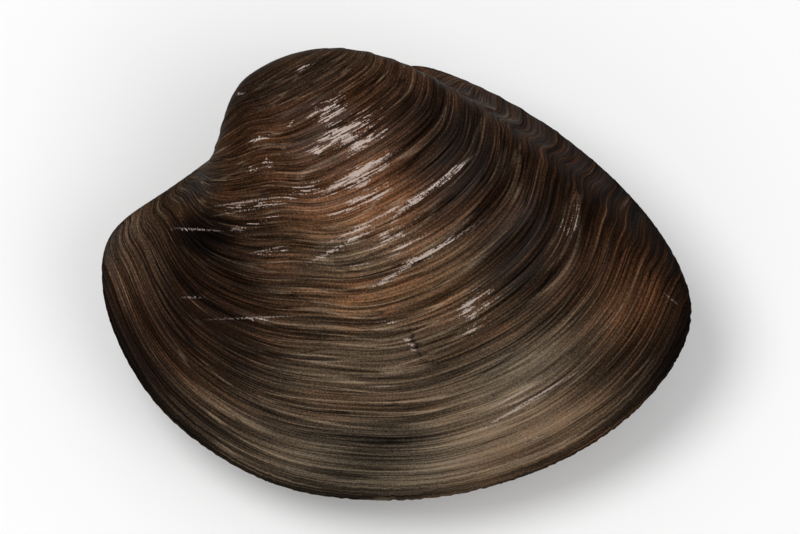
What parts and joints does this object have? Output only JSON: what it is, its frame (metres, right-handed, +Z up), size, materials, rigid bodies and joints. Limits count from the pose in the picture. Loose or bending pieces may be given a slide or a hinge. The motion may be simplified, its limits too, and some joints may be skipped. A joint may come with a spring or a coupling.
{
  "type": "ocean quahog shell",
  "caption": "Closed clam shell of an ocean quahog: two thick dark ridged valves held together by a horny ligament, lying on its right valve.",
  "frame": {"origin": "middle of the bounding box in X and Y, at the level of the flat spot that the shell rests on", "axes": "+X runs from the front of the shell to its hind end, +Y from its lower margin towards the hinge side, +Z up through the left valve. The plane between the valves is turned 13.5 degrees back about X and 0.8 degrees about Y, as the shell lies on its own."},
  "size_m": [0.0996, 0.0776, 0.0517],
  "materials": {
    "periostracum": "dark brown, satin, with fine concentric growth lines",
    "dark_horn": "nearly black horn, satin"
  },
  "bodies": {
    "root": {"left_valve": "periostracum", "right_valve": "periostracum", "ligament": "dark_horn"}
  },
  "joints": []
}
